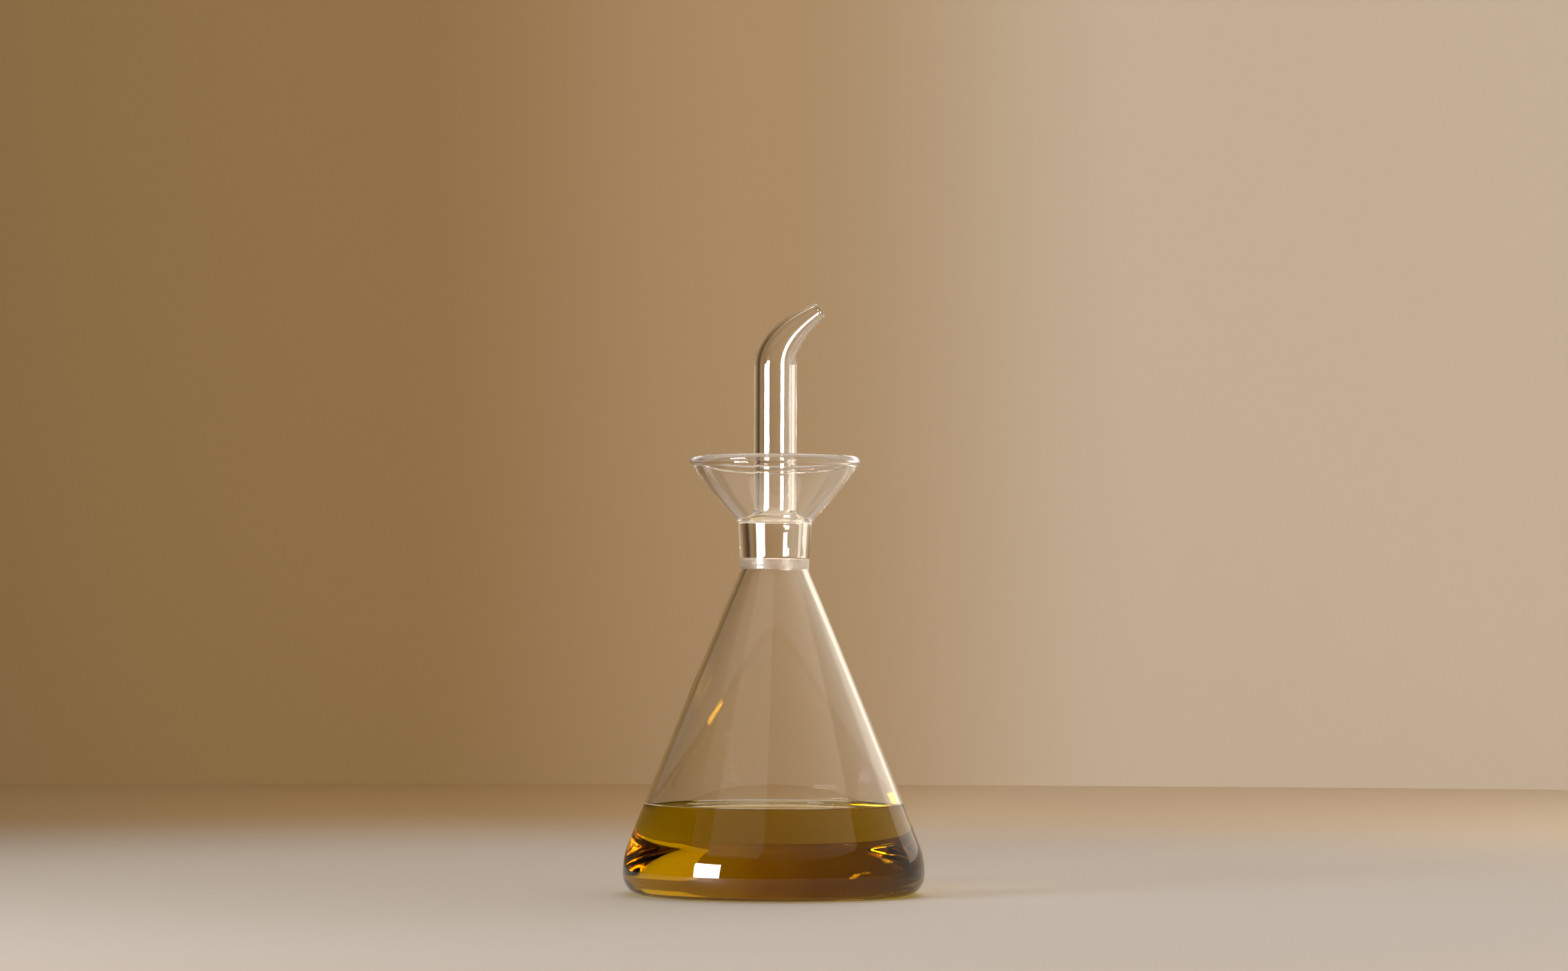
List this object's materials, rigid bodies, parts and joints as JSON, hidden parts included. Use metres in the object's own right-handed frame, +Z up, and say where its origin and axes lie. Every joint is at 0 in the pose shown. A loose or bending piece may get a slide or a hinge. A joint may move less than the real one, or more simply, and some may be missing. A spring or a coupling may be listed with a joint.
{
  "type": "glass oil cruet",
  "caption": "Conical glass oil cruet with a drip funnel round its neck, a loose glass pourer with a bent spout, and olive oil in its foot.",
  "frame": {"origin": "centre of the flat foot, on the surface that the cruet stands on", "axes": "+Z up along the cruet's axis, +X the way the spout points"},
  "size_m": [0.1126, 0.1126, 0.2203],
  "materials": {
    "blown_glass": "clear blown glass, fire polished",
    "drawn_glass": "clear drawn tube, its plug ground",
    "olive_oil": "clear golden olive oil"
  },
  "bodies": {
    "root": {"flask": "blown_glass", "pourer": "drawn_glass", "oil": "olive_oil"}
  },
  "joints": []
}
